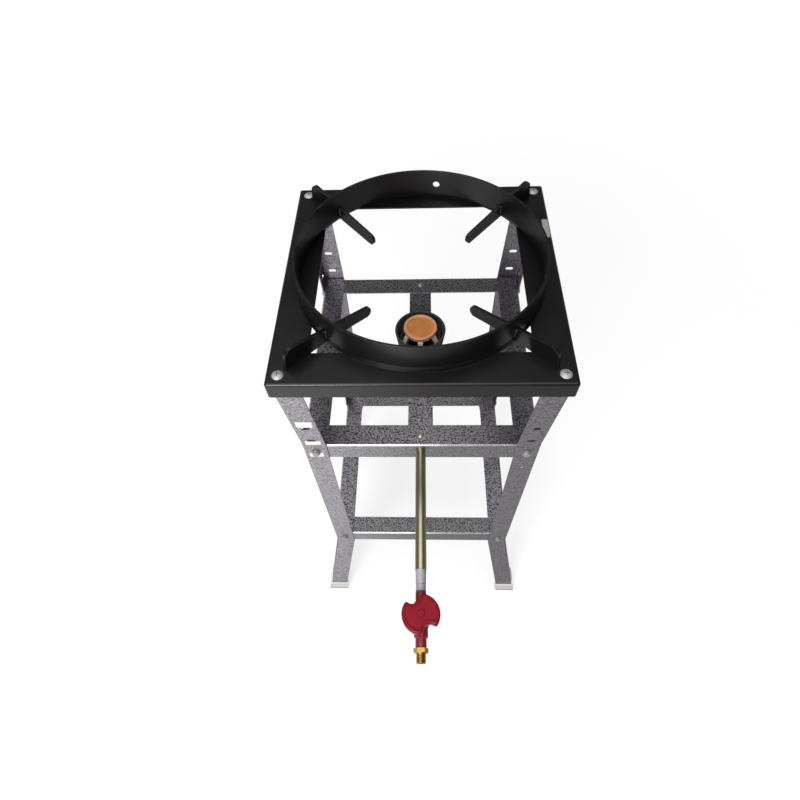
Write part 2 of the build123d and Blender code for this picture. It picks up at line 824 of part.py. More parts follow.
def gland_nut():
    """The gland nut: a hexagon on the bonnet, with a follower that presses the packing."""
    nut = hexagon(gland_flats, gland_height)
    nut += bar((0, 0, -packing_follower), (0, 0, 0), packing_radius)
    nut -= bar((0, 0, -packing_follower), (0, 0, gland_height), stem_radius + thread_gap)
    return on_stem(nut, gland_low)


def valve_needle():
    """The needle: a cone that closes the seat, and a pocket in which the stem's button turns."""
    slope = tan(radians(needle_angle))
    apex = -seat_drop - (seat_radius - needle_seat_gap) / slope
    pocket_high = needle_top_rise - swivel_lip
    pocket_low = pocket_high - swivel_button_height - 2 * swivel_gap
    neck = swivel_neck_radius + swivel_gap
    button = swivel_button_radius + swivel_gap
    needle = turned([
        (0, apex + needle_tip_radius / slope),
        (needle_tip_radius, apex + needle_tip_radius / slope),
        (needle_radius, apex + needle_radius / slope),
        (needle_radius, needle_top_rise),
        (neck, needle_top_rise),
        (neck, pocket_high),
        (button, pocket_high),
        (button, pocket_low),
        (0, pocket_low),
    ])
    return on_stem(needle, pipe_height)


def valve_stem():
    """The stem: a button in the needle, a round shank and an end with a flat for the handle."""
    button_high = needle_top_rise - swivel_lip - swivel_gap
    shank_low = needle_top_rise + swivel_gap
    shank_high = handle_low - pipe_height
    stem = bar((0, 0, button_high - swivel_button_height), (0, 0, button_high), swivel_button_radius)
    stem += bar((0, 0, button_high), (0, 0, shank_low), swivel_neck_radius)
    stem += bar((0, 0, shank_low), (0, 0, shank_high), stem_radius)
    stem += stem_end(shank_high, stem_end_length, 0)
    return on_stem(stem, pipe_height)


def stem_end(low, length, growth):
    """The stem's end: a round bar with a flat on its right side, larger all round by a growth."""
    radius = stem_end_radius + growth
    end = bar((0, 0, low), (0, 0, low + length), radius)
    return end - block((stem_end_flat + growth, -2 * radius, low), (2 * radius, 2 * radius, low + length))


def lobed_outline():
    """The handle's outline: a circle with round flutes cut into it, and round lobes between them."""
    outline = Circle(handle_radius)
    flute_place = handle_radius + handle_flute_radius - handle_flute_depth
    for place in PolarLocations(flute_place, handle_flutes, start_angle=handle_flute_angle):
        outline -= place * Circle(handle_flute_radius)
    return fillet(outline.vertices(), handle_lobe_round)


def valve_handle():
    """The lobed handle: a fluted plate, dished inside its rim around a plain disc, with a hub below."""
    plate = extrude(lobed_outline(), handle_height)
    plate = fillet(plate.faces().sort_by(Axis.Z)[-1].edges(), handle_top_round)
    plate = fillet(plate.faces().sort_by(Axis.Z)[0].edges(), handle_bottom_round)
    dish = offset(lobed_outline(), -handle_rim_width) - Circle(handle_disc_radius)
    plate -= Pos(0, 0, handle_height) * extrude(dish, -handle_dish_depth)
    handle = Pos(0, 0, handle_hub_height) * plate
    handle += bar((0, 0, 0), (0, 0, handle_hub_height), handle_hub_radius)
    handle -= stem_end(0, stem_end_length + swivel_gap, thread_gap)
    start = (0, 0, handle_hub_height / 2)
    handle -= bar(start, (2 * handle_hub_radius, 0, handle_hub_height / 2), set_screw_radius + thread_gap)
    return on_stem(handle, handle_low)


def handle_set_screw():
    """The set screw in the handle's hub, against the flat of the stem."""
    height = handle_hub_height / 2
    start = (stem_end_flat + thread_gap, 0, height)
    end = (handle_hub_radius, 0, height)
    return on_stem(bar(start, end, set_screw_radius), handle_low)


def inlet_adapter():
    """The adapter at the valve's front: a thread in the valve, a hexagon and the hose union's thread."""
    end = adapter_hex_length + adapter_thread_length
    adapter = hexagon(adapter_hex_flats, adapter_hex_length)
    adapter += turned([
        (0, -nipple_thread_length),
        (nipple_thread_radius, -nipple_thread_length),
        (nipple_thread_radius, 0),
        (0, 0),
    ])
    adapter += turned([
        (0, adapter_hex_length),
        (adapter_thread_radius, adapter_hex_length),
        (adapter_thread_radius, end - adapter_thread_chamfer),
        (adapter_thread_radius - adapter_thread_chamfer, end),
        (0, end),
    ])
    adapter -= bar((0, 0, -nipple_thread_length), (0, 0, end), adapter_bore_radius)
    return toward_viewer(adapter, valve_front)


def all_pieces():
    """Every piece of the stove by name: one solid each, or a list of equal fasteners."""
    pieces = {"top_frame": top_frame(), "wok_ring": wok_ring()}
    for name, angle in (("rear_right", 45), ("rear_left", 135), ("front_left", 225), ("front_right", 315)):
        pieces[f"pot_support_{name}"] = pot_support_fin(angle)
    for name, piece in four_corners(leg()).items():
        pieces[f"leg_{name}"] = piece
    for name, piece in four_corners(foot_cap()).items():
        pieces[f"foot_cap_{name}"] = piece
    for name, piece in burner_rails().items():
        pieces[f"burner_rail_{name}"] = piece
    for name, piece in shelf_rails(lower_shelf_height).items():
        pieces[f"lower_rail_{name}"] = piece
    for name, height in shelf_heights.items():
        pieces[f"{name}_shelf_bolts"] = shelf_fasteners(height, shelf_bolt(), 0)
        pieces[f"{name}_shelf_nuts"] = shelf_nuts(height)
    makers = [
        crossbar, crossbar_screws, corner_bolts, corner_nuts,
        burner_bowl, burner_bolts, burner_crown, burner_cap, injector_jet, jet_holder,
        gas_pipe, pipe_nipple, nipple_gasket,
        valve_body, valve_bonnet, stem_packing, gland_nut, valve_needle, valve_stem,
        valve_handle, handle_set_screw, inlet_adapter,
    ]
    for maker in makers:
        pieces[maker.__name__] = maker()
    return pieces


def save(name, piece):
    """Writes a piece, or a list of equal pieces, as one file."""
    group = piece if isinstance(piece, list) else [piece]
    solids = [solid for one in group for solid in one.solids()]
    shape = solids[0] if len(solids) == 1 else Compound(children=solids)
    export_step(shape, f"parts/{name}.step")


os.makedirs("parts", exist_ok=True)
for piece_name, made in all_pieces().items():
    save(piece_name, made)
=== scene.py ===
"""The looks of a free-standing gas stove: finishes for every piece, weld beads and a cut thread.

Metres. X points to the right, Y to the back and Z up, with the origin on the floor under the burner.
"""

from math import cos, pi, radians, sin

import bpy
import numpy as np
from mathutils import Matrix, Vector


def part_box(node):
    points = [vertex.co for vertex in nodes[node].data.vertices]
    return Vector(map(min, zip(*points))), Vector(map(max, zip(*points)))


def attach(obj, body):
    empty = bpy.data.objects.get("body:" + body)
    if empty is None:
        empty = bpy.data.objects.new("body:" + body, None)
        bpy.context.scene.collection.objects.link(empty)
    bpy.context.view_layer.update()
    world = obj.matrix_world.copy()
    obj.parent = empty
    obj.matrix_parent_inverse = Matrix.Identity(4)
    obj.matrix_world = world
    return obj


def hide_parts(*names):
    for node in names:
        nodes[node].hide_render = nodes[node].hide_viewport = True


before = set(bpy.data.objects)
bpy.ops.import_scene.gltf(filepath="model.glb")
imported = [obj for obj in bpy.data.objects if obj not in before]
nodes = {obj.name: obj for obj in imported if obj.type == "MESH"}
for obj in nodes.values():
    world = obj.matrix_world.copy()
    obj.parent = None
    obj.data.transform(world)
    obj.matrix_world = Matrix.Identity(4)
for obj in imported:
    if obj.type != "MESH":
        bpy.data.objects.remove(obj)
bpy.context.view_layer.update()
mm = 0.001

# The camera, fitted to the photograph: its focal length and middle are in pixels of the 800 pixel frame
frame_pixels = 800
focal_pixels = 546.92
middle_pixels = (398.19, 400.26)
camera_place = Vector((0.0007, -0.5983, 1.4294))
camera_yaw = radians(4.324)
camera_pitch = radians(56.534)
camera_roll = radians(-3.742)
camera_reach = 50.0
sensor_width = 36.0

# The floor: its glow for the camera, which rises to white between two distances from the stove, and the
# glow of a window that metal sees in it at the front left. Pairs say where that starts and where it is full
floor_half = 40.0
floor_glow = 0.71
floor_white = (1.0, 5.0)
window_glow = 0.84
window_across = (0.05, -0.3)
window_along = (-0.15, -0.3)
floor_sheen = 0.15

# The sky: bright around one direction overhead, with a low glow at the back. Pairs say where a glow
# starts and where it is full
sky_low = 0.07
sky_high = 2.0
sky_axis = (-0.12, -0.1, 0.988)
sky_spread = (0.7, 0.95)
rear_glow = 0.6
rear_along = (0.2, 0.8)
rear_height = (0.5, 0.25)

# A tall lamp at the front left
lamp_place = (-0.74, -1.75, 1.98)
lamp_target = (0.0, 0.0, 0.7)
lamp_width = 0.75
lamp_height = 1.1
lamp_power = 42.0

# Weld beads, one in each corner between a fin and the ring, from the ring's flared foot to the fin's top.
# Ripples bow by a share of their spacing and swell by a share of the bead's size. Each slow drift is a
# share of that size, a pace along the bead and a factor of the bead's seed
fin_angles = (45, 135, 225, 315)
fin_half = 2.5 * mm
fin_ring_height = 21.0 * mm
ring_sheet = 3.0 * mm
ring_foot_flare = 2.5 * mm
ring_foot_height = 7.0 * mm
bead_size = 2.3 * mm
bead_ripple = 1.7 * mm
bead_bow = 0.6
bead_valley = 0.9
bead_swell = 0.14
bead_drifts = [(0.06, 9, 1), (0.05, 23, 2.1)]
bead_tip = 0.1 * mm
bead_blunt = 12
bead_root = 0.5 * mm
bead_rows = 96
bead_columns = 9

# The crown's sooty base, and the burner cap's raised rim, which is painted paler as a highlight
crown_base_height = 5.0 * mm
crown_base_fade = 1.0 * mm
cap_rim_width = 5.0 * mm
cap_rim_slope = 1.0 * mm

# The inlet adapter's cut thread, a quarter inch pipe thread
thread_radius = 6.58 * mm
thread_pitch = 1.337 * mm
thread_depth = 0.856 * mm
thread_chamfer = 0.8 * mm
adapter_flats = 17.0 * mm
adapter_hex = 6.0 * mm
adapter_bore = 3.0 * mm
adapter_inner = 5.2 * mm
adapter_face_edge = 0.4 * mm
hex_chamfer = radians(30)
hex_rows = 8
thread_rows = 84
turn_columns = 96

# Marks that the photograph shows: a pale patch on the top's right edge, three bright bars on the front left
# leg painted as highlights, each with its middle and half sizes, painted highlights on the folds that fade to
# the right, and the feet darker towards the floor
pale_patch_centre = (0.1945, 0.094, 0.862)
pale_patch_half = (0.005, 0.022, 0.004)
highlight_bars = [
    ((-0.171, -0.189, 0.746), (0.013, 0.006, 0.009)),
    ((-0.168, -0.189, 0.685), (0.013, 0.006, 0.007)),
    ((-0.168, -0.188, 0.645), (0.012, 0.006, 0.007)),
]
fold_highlight_fade = (-0.02, 0.04)
fold_highlight_right_share = 0.3
low_dark_height = 10.0 * mm


def linear(hex_colour):
    """An sRGB hex colour as linear red, green and blue, with an alpha of one."""
    channels = np.array([int(hex_colour[i:i + 2], 16) for i in (1, 3, 5)]) / 255
    bright = ((channels + 0.055) / 1.055) ** 2.4
    return (*np.where(channels <= 0.04045, channels / 12.92, bright).tolist(), 1.0)


def grain(size_mm):
    """The scale of a pattern whose features are about a real size in millimetres."""
    return 1000 / size_mm


def bands(spacing_mm):
    """The scale of a wave texture whose bands lie this far apart: its phase is twenty times the place."""
    return 2 * pi * grain(spacing_mm) / 20


def add(tree, kind, inputs=None, output=0, **settings):
    """Adds a node with its settings and its input values or links, and returns one of its outputs."""
    made = tree.nodes.new("ShaderNode" + kind)
    for name, value in settings.items():
        setattr(made, name, value)
    for socket, value in (inputs or {}).items():
        if isinstance(value, bpy.types.NodeSocket):
            tree.links.new(value, made.inputs[socket])
        else:
            made.inputs[socket].default_value = value
    return made.outputs[output] if made.outputs else None


def start(name):
    """A new material with an empty tree, and the place of each point on the piece."""
    made = bpy.data.materials.new(name)
    made.use_nodes = True
    made.node_tree.nodes.clear()
    return made, made.node_tree, add(made.node_tree, "TexCoord", output="Object")


def shade(made, sockets):
    """Ends a material with a Principled shader that has these values and links."""
    shader = add(made.node_tree, "BsdfPrincipled", sockets)
    add(made.node_tree, "OutputMaterial", {"Surface": shader})
    return made


def near_edges(tree, radius_mm):
    """One on sharp edges and zero on flat faces: how far a rounded normal turns from the face's own."""
    rounded = add(tree, "Bevel", {"Radius": radius_mm * mm}, samples=4)
    own = add(tree, "NewGeometry", output="Normal")
    turn = add(tree, "VectorMath", {0: rounded, 1: own}, output="Value", operation="DOT_PRODUCT")
    return add(tree, "MapRange", {"Value": turn, "From Min": 0.99, "From Max": 0.75})


def broken_up(tree, mask, place, spot_mm, low, high):
    """A mask torn into spots: it holds where the mask times a noise passes between two levels."""
    spots = add(tree, "TexNoise", {
        "Vector": place, "Scale": grain(spot_mm), "Detail": 4.0, "Roughness": 0.65,
    })
    both = add(tree, "Math", {0: mask, 1: spots}, operation="MULTIPLY")
    return add(tree, "MapRange", {"Value": both, "From Min": low, "From Max": high})


def ragged_patch(tree, place, centre, half, spot_mm):
    """One inside a box with round corners, falling to zero across a ragged border."""
    off = add(tree, "VectorMath", {0: place, 1: centre}, operation="SUBTRACT")
    share = add(tree, "VectorMath", {0: off, 1: half}, operation="DIVIDE")
    square = add(tree, "VectorMath", {0: share, 1: share}, operation="MULTIPLY")
    fourth = add(tree, "VectorMath", {0: square, 1: square}, operation="MULTIPLY")
    reach = add(tree, "VectorMath", {0: fourth}, output="Value", operation="LENGTH")
    spots = add(tree, "TexNoise", {"Vector": place, "Scale": grain(spot_mm), "Detail": 3.0})
    ragged = add(tree, "Math", {0: spots, 1: reach}, operation="ADD")
    return add(tree, "MapRange", {"Value": ragged, "From Min": 1.5, "From Max": 1.1})


def on_folds(tree):
    """One on the round folds between a level flange and an upright one, zero on both flanges."""
    facing = add(tree, "NewGeometry", output="Normal")
    upward = add(tree, "SeparateXYZ", {0: facing}, output="Z")
    leaves_upright = add(tree, "MapRange", {"Value": upward, "From Min": 0.25, "From Max": 0.5})
    leaves_level = add(tree, "MapRange", {"Value": upward, "From Min": 0.98, "From Max": 0.9})
    return add(tree, "Math", {0: leaves_upright, 1: leaves_level}, operation="MULTIPLY")


def rounded_bump(tree, height, depth_mm, edge_mm):
    """A bump of a real depth over edges that look rounded by a real radius."""
    rounded = add(tree, "Bevel", {"Radius": edge_mm * mm}, samples=4)
    return add(tree, "Bump", {
        "Height": height, "Distance": depth_mm * mm, "Strength": 1.0, "Normal": rounded,
    })


def black_stove_paint():
    """Black enamel sprayed on folded steel: near black and satin, with orange peel and dust.

    It is rubbed on the edges and has one pale patch.
    """
    made, tree, place = start("black_stove_paint")
    cloud = add(tree, "TexNoise", {"Vector": place, "Scale": grain(45), "Detail": 4.0, "Roughness": 0.6})
    colour = add(tree, "MixRGB", {"Fac": cloud, "Color1": linear("#060505"), "Color2": linear("#0d0b0b")})
    facing = add(tree, "NewGeometry", output="Normal")
    upward = add(tree, "SeparateXYZ", {0: facing}, output="Z")
    level = add(tree, "MapRange", {"Value": upward, "From Min": 0.7, "From Max": 1.0})
    dusty = broken_up(tree, level, place, 2.2, 0.5, 1.0)
    colour = add(tree, "MixRGB", {"Fac": dusty, "Color1": colour, "Color2": linear("#171414")})
    pale_marks = broken_up(tree, near_edges(tree, 0.9), place, 7, 0.42, 0.62)
    colour = add(tree, "MixRGB", {"Fac": pale_marks, "Color1": colour, "Color2": linear("#6c6864")})
    # A pale patch on the top's right edge.
    pale_patch = ragged_patch(tree, place, pale_patch_centre, pale_patch_half, 2.5)
    colour = add(tree, "MixRGB", {"Fac": pale_patch, "Color1": colour, "Color2": linear("#b3aea6")})
    roughness = add(tree, "MapRange", {"Value": cloud, "To Min": 0.26, "To Max": 0.38})
    peel = add(tree, "TexNoise", {"Vector": place, "Scale": grain(2.6), "Detail": 2.0, "Roughness": 0.4})
    return shade(made, {
        "Base Color": colour,
        "Roughness": roughness,
        "Normal": rounded_bump(tree, peel, 0.03, 0.5),
    })


def hammertone_enamel():
    """Hammertone enamel on steel angle: aluminium flake that drew back into a skin with small dark pits.

    The level faces are darker, and darker still in their pits: grime, and painted shade.
    The paint is thin, smooth and bright over the folds, with a painted highlight there that fades to the
    right, and rubbed to the metal in places. Bright bars on the front left leg are painted highlights.
    """
    made, tree, place = start("hammertone_enamel")
    pale_marks = broken_up(tree, near_edges(tree, 0.9), place, 6, 0.45, 0.6)
    across = add(tree, "SeparateXYZ", {0: place}, output="X")
    # A painted highlight on the folds: full at the left, fading to a share of it at the right.
    rubbed = add(tree, "MapRange", {
        "Value": across, "From Min": fold_highlight_fade[0], "From Max": fold_highlight_fade[1],
        "To Min": 1.0, "To Max": fold_highlight_right_share,
    })
    fold_highlight = add(tree, "Math", {0: on_folds(tree), 1: rubbed}, operation="MULTIPLY")
    pale_marks = add(tree, "Math", {0: pale_marks, 1: fold_highlight}, operation="MAXIMUM")
    # Painted highlights: bright bars on the front left leg.
    for centre, half in highlight_bars:
        patch = ragged_patch(tree, place, centre, half, 4)
        pale_marks = add(tree, "Math", {0: pale_marks, 1: patch}, operation="MAXIMUM")
    swirl = add(tree, "TexNoise", {"Vector": place, "Scale": grain(2.8), "Detail": 1.0, "Distortion": 0.5})
    skin = add(tree, "MapRange", {"Value": swirl, "From Min": 0.36, "From Max": 0.58})
    drift = add(tree, "TexNoise", {"Vector": place, "Scale": grain(9), "Detail": 2.0})
    flake = add(tree, "MixRGB", {"Fac": drift, "Color1": linear("#98959a"), "Color2": linear("#b2afb3")})
    facing = add(tree, "NewGeometry", output="Normal")
    upward = add(tree, "SeparateXYZ", {0: facing}, output="Z")
    level = add(tree, "MapRange", {"Value": upward, "From Min": 0.5, "From Max": 0.95})
    # Partly painted shade: level faces get a darker tone and darker pits, standing for grime and for the
    # shade they lie in.
    level_darkening = add(tree, "Math", {0: level, 1: 0.25}, operation="MULTIPLY")
    flake = add(tree, "MixRGB", {"Fac": level_darkening, "Color1": flake, "Color2": linear("#78757a")})
    pit = add(tree, "MixRGB", {"Fac": level, "Color1": linear("#77747a"), "Color2": linear("#3d3b3f")})
    colour = add(tree, "MixRGB", {"Fac": skin, "Color1": pit, "Color2": flake})
    # Pale marks: edge wear, plus the painted highlights on the folds and bars.
    colour = add(tree, "MixRGB", {"Fac": pale_marks, "Color1": colour, "Color2": linear("#f2f0ec")})
    smooth = add(tree, "Math", {0: skin, 1: pale_marks}, operation="MAXIMUM")
    return shade(made, {
        "Base Color": colour,
        "Metallic": 0.95,
        "Roughness": add(tree, "MapRange", {"Value": skin, "To Min": 0.42, "To Max": 0.3}),
        "Normal": rounded_bump(tree, smooth, 0.12, 0.5),
    })


def bright_zinc():
    """Zinc plate on bolts and nuts: pale grey metal, a little cloudy, with painted shade in the recesses."""
    made, tree, place = start("bright_zinc")
    cloud = add(tree, "TexNoise", {"Vector": place, "Scale": grain(3), "Detail": 4.0})
    colour = add(tree, "MixRGB", {"Fac": cloud, "Color1": linear("#a09f9e"), "Color2": linear("#bfbebc")})
    # Painted shade: darker where ambient occlusion finds a recess close by.
    open_air = add(tree, "AmbientOcclusion", {"Distance": 3 * mm}, output="AO", samples=6)
    painted_lit = add(tree, "MapRange", {"Value": open_air, "From Min": 0.35, "From Max": 0.8})
    colour = add(tree, "MixRGB", {"Fac": painted_lit, "Color1": linear("#5c5a58"), "Color2": colour})
    return shade(made, {
        "Base Color": colour,
        "Metallic": 0.5,
        "Roughness": add(tree, "MapRange", {"Value": cloud, "To Min": 0.5, "To Max": 0.66}),
        "Normal": rounded_bump(tree, cloud, 0.03, 0.3),
    })


def dull_zinc():
    """Barrel-plated zinc on the nipple: a milky grey with a soft sheen and faint turning marks.

    The marks are drawn coarser than real ones, which would be too fine to show.
    """
    made, tree, place = start("dull_zinc")
    cloud = add(tree, "TexNoise", {"Vector": place, "Scale": grain(5), "Detail": 4.0})
    colour = add(tree, "MixRGB", {"Fac": cloud, "Color1": linear("#a5a2a6"), "Color2": linear("#b8b5b9")})
    rings = add(tree, "TexWave", {"Vector": place, "Scale": bands(1.4), "Distortion": 0.4},
                output="Fac", bands_direction="Y")
    return shade(made, {
        "Base Color": colour,
        "Metallic": 0.4,
        "Roughness": 0.6,
        "Normal": rounded_bump(tree, rings, 0.02, 0.4),
    })


def yellow_zinc(name, smoothest, roughest):
    """Yellow passivated zinc on the drawn tube and screws: olive gold with a faint green and pink drift.

    Lines run along the tube. They are drawn coarser than real ones, which would be too fine to show.
    """
    made, tree, place = start(name)
    drift = add(tree, "TexNoise", {"Vector": place, "Scale": grain(30), "Detail": 3.0})
    colour = add(tree, "MixRGB", {"Fac": drift, "Color1": linear("#bdb99c"), "Color2": linear("#ccc1a8")})
    drawn = add(tree, "Mapping", {"Vector": place, "Scale": (1.0, 0.02, 1.0)})
    lines = add(tree, "TexNoise", {"Vector": drawn, "Scale": grain(0.8), "Detail": 3.0})
    colour = add(tree, "MixRGB", {"Fac": lines, "Color1": colour, "Color2": linear("#aea98a")})
    return shade(made, {
        "Base Color": colour,
        "Metallic": 1.0,
        "Roughness": add(tree, "MapRange", {"Value": lines, "To Min": smoothest, "To Max": roughest}),
        "Normal": rounded_bump(tree, lines, 0.002, 0.3),
    })


def turned_brass():
    """Turned brass fittings: warm yellow metal with a cloudy tarnish and a fine grain.

    The grain is drawn coarser than a real one, which would be too fine to show.
    """
    made, tree, place = start("turned_brass")
    tarnish = add(tree, "TexNoise", {"Vector": place, "Scale": grain(6), "Detail": 4.0})
    colour = add(tree, "MixRGB", {"Fac": tarnish, "Color1": linear("#a8813f"), "Color2": linear("#cba55c")})
    fine = add(tree, "TexNoise", {"Vector": place, "Scale": grain(0.5), "Detail": 2.0})
    return shade(made, {
        "Base Color": colour,
        "Metallic": 1.0,
        "Roughness": add(tree, "MapRange", {"Value": tarnish, "To Min": 0.22, "To Max": 0.4}),
        "Normal": rounded_bump(tree, fine, 0.01, 0.3),
    })


def scorched_brass():
    """The crown's brass: its base is sooty, its inside scorched reddish brown with a painted reflection of
    the orange cap, its lands' outer faces painted bright as highlights.
    """
    made, tree, place = start("scorched_brass")
    base_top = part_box("burner_crown")[0].z + crown_base_height
    flat = add(tree, "VectorMath", {0: place, 1: (1, 1, 0)}, operation="MULTIPLY")
    outward = add(tree, "VectorMath", {0: flat}, operation="NORMALIZE")
    facing = add(tree, "NewGeometry", output="Normal")
    turned_out = add(tree, "VectorMath", {0: facing, 1: outward}, output="Value", operation="DOT_PRODUCT")
    outer = add(tree, "MapRange", {"Value": turned_out, "From Min": -0.2, "From Max": 0.3})
    height = add(tree, "SeparateXYZ", {0: place}, output="Z")
    above = add(tree, "MapRange", {
        "Value": height, "From Min": base_top, "From Max": base_top + crown_base_fade,
    })
    # Painted highlights on the lands' outward faces above the base; elsewhere the inside is scorched reddish
    # brown with a painted reflection of the orange cap.
    painted_lit = add(tree, "Math", {0: outer, 1: above}, operation="MULTIPLY")
    soot = add(tree, "TexNoise", {"Vector": place, "Scale": grain(5), "Detail": 4.0})
    bright = add(tree, "MixRGB", {"Fac": soot, "Color1": linear("#efe8d8"), "Color2": linear("#fdfbf4")})
    burnt_and_reflected = add(tree, "MixRGB", {"Fac": soot, "Color1": linear("#5a2410"), "Color2": linear("#7c3a1a")})
    burnt_and_reflected = add(tree, "MixRGB", {"Fac": above, "Color1": linear("#3d190c"), "Color2": burnt_and_reflected})
    colour = add(tree, "MixRGB", {"Fac": painted_lit, "Color1": burnt_and_reflected, "Color2": bright})
    return shade(made, {
        "Base Color": colour,
        "Metallic": 0.2,
        "Roughness": add(tree, "MapRange", {"Value": soot, "To Min": 0.35, "To Max": 0.55}),
        "Normal": rounded_bump(tree, soot, 0.05, 0.4),
    })


def heat_tinted_brass():
    """The cap's brass, turned orange by heat: fine turning rings and a raised rim painted paler and pinkish
    as a highlight.

    The rings are a sine of the distance from the middle. They are drawn coarser than real ones, which
    would be too fine to show.
    """
    made, tree, place = start("heat_tinted_brass")
    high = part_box("burner_cap")[1]
    flat = add(tree, "VectorMath", {0: place, 1: (1, 1, 0)}, operation="MULTIPLY")
    radius = add(tree, "VectorMath", {0: flat}, output="Value", operation="LENGTH")
    stain = add(tree, "TexNoise", {"Vector": place, "Scale": grain(14), "Detail": 4.0, "Roughness": 0.6})
    stained = add(tree, "MapRange", {"Value": stain, "From Min": 0.35, "From Max": 0.65})
    colour = add(tree, "MixRGB", {"Fac": stained, "Color1": linear("#cd7f47"), "Color2": linear("#d68f4e")})
    # The raised rim is painted paler and pinkish as a highlight.
    rim_start = high.x - cap_rim_width - cap_rim_slope
    rim = add(tree, "MapRange", {
        "Value": radius, "From Min": rim_start, "From Max": rim_start + cap_rim_slope,
    })
    colour = add(tree, "MixRGB", {"Fac": rim, "Color1": colour, "Color2": linear("#e6a67c")})
    rings = add(tree, "Math", {0: radius, 1: 2 * pi * grain(0.9)}, operation="MULTIPLY")
    wave = add(tree, "Math", {0: rings}, operation="SINE")
    return shade(made, {
        "Base Color": colour,
        "Metallic": 0.4,
        "Roughness": add(tree, "MapRange", {"Value": stain, "To Min": 0.34, "To Max": 0.5}),
        "Normal": rounded_bump(tree, wave, 0.006, 0.4),
    })


def cast_iron():
    """Sand-cast iron: dark greenish grey, matt, with the grain of the mould and a little rust.

    The grain is drawn coarser than real moulding sand, which would be too fine to show.
    """
    made, tree, place = start("cast_iron")
    sand = add(tree, "TexNoise", {"Vector": place, "Scale": grain(1.4), "Detail": 3.0, "Roughness": 0.6})
    cloud = add(tree, "TexNoise", {"Vector": place, "Scale": grain(16), "Detail": 4.0})
    rust = add(tree, "MapRange", {"Value": cloud, "From Min": 0.5, "From Max": 0.75})
    colour = add(tree, "MixRGB", {"Fac": sand, "Color1": linear("#2a2f2d"), "Color2": linear("#434b47")})
    colour = add(tree, "MixRGB", {"Fac": rust, "Color1": colour, "Color2": linear("#4a3020")})
    return shade(made, {
        "Base Color": colour,
        "Metallic": 0.3,
        "Roughness": add(tree, "MapRange", {"Value": sand, "To Min": 0.5, "To Max": 0.75}),
        "Normal": rounded_bump(tree, sand, 0.25, 0.7),
    })


def red_lacquer():
    """Red lacquer on the valve's casting: glossy over a slightly sandy skin, rubbed pale on the edges."""
    made, tree, place = start("red_lacquer")
    cloud = add(tree, "TexNoise", {"Vector": place, "Scale": grain(9), "Detail": 4.0})
    colour = add(tree, "MixRGB", {"Fac": cloud, "Color1": linear("#6e0f1e"), "Color2": linear("#841c2e")})
    pale_marks = broken_up(tree, near_edges(tree, 0.8), place, 3, 0.45, 0.62)
    colour = add(tree, "MixRGB", {"Fac": pale_marks, "Color1": colour, "Color2": linear("#c98b8c")})
    skin = add(tree, "TexNoise", {"Vector": place, "Scale": grain(1.5), "Detail": 2.0})
    return shade(made, {
        "Base Color": colour,
        "Roughness": add(tree, "MapRange", {"Value": cloud, "To Min": 0.25, "To Max": 0.4}),
        "Coat Weight": 0.3,
        "Coat Roughness": 0.12,
        "Normal": rounded_bump(tree, skin, 0.06, 0.5),
    })


def red_moulded_plastic():
    """The handle's moulded plastic: deep red with a fine spark texture, painted shade on the edges and a few
    painted glints.

    The texture is drawn coarser than a real one, which would be too fine to show.
    """
    made, tree, place = start("red_moulded_plastic")
    cloud = add(tree, "TexNoise", {"Vector": place, "Scale": grain(12), "Detail": 4.0})
    colour = add(tree, "MixRGB", {"Fac": cloud, "Color1": linear("#700617"), "Color2": linear("#8c1023")})
    # Painted shade on the edges.
    shaded_edges = near_edges(tree, 2.0)
    colour = add(tree, "MixRGB", {"Fac": shaded_edges, "Color1": colour, "Color2": linear("#4a0812")})
    # Painted glints: pale spots broken up along the edges.
    pale_marks = broken_up(tree, shaded_edges, place, 4, 0.55, 0.72)
    colour = add(tree, "MixRGB", {"Fac": pale_marks, "Color1": colour, "Color2": linear("#c4676f")})
    spark = add(tree, "TexNoise", {"Vector": place, "Scale": grain(0.7), "Detail": 2.0})
    return shade(made, {
        "Base Color": colour,
        "Roughness": add(tree, "MapRange", {"Value": cloud, "To Min": 0.26, "To Max": 0.4}),
        "Specular IOR Level": 0.12,
        "Normal": rounded_bump(tree, spark, 0.02, 0.5),
    })


def turned_steel():
    """Turned steel of the stem, needle and set screw: mid grey with fine rings.

    The rings are drawn coarser than real ones, which would be too fine to show.
    """
    made, tree, place = start("turned_steel")
    rings = add(tree, "TexWave", {"Vector": place, "Scale": bands(0.8), "Distortion": 0.2},
                output="Fac", bands_direction="Z")
    colour = add(tree, "MixRGB", {"Fac": rings, "Color1": linear("#a3a19e"), "Color2": linear("#bdbbb7")})
    return shade(made, {
        "Base Color": colour,
        "Metallic": 1.0,
        "Roughness": 0.3,
        "Normal": rounded_bump(tree, rings, 0.01, 0.2),
    })


def white_packing():
    """Pressed white packing: waxy, with a faint flow pattern."""
    made, tree, place = start("white_packing")
    flow = add(tree, "TexNoise", {"Vector": place, "Scale": grain(2), "Detail": 3.0})
    colour = add(tree, "MixRGB", {"Fac": flow, "Color1": linear("#d8d7d2"), "Color2": linear("#efeeea")})
    return shade(made, {
        "Base Color": colour,
        "Roughness": 0.45,
        "Normal": rounded_bump(tree, flow, 0.02, 0.2),
    })


def gasket_rubber():
    """Dark grey sealing rubber: matt, with a little bloom."""
    made, tree, place = start("gasket_rubber")
    bloom = add(tree, "TexNoise", {"Vector": place, "Scale": grain(1.5), "Detail": 3.0})
    colour = add(tree, "MixRGB", {"Fac": bloom, "Color1": linear("#434145"), "Color2": linear("#5c5a5e")})
    return shade(made, {
        "Base Color": colour,
        "Roughness": 0.7,
        "Normal": rounded_bump(tree, bloom, 0.04, 0.3),
    })


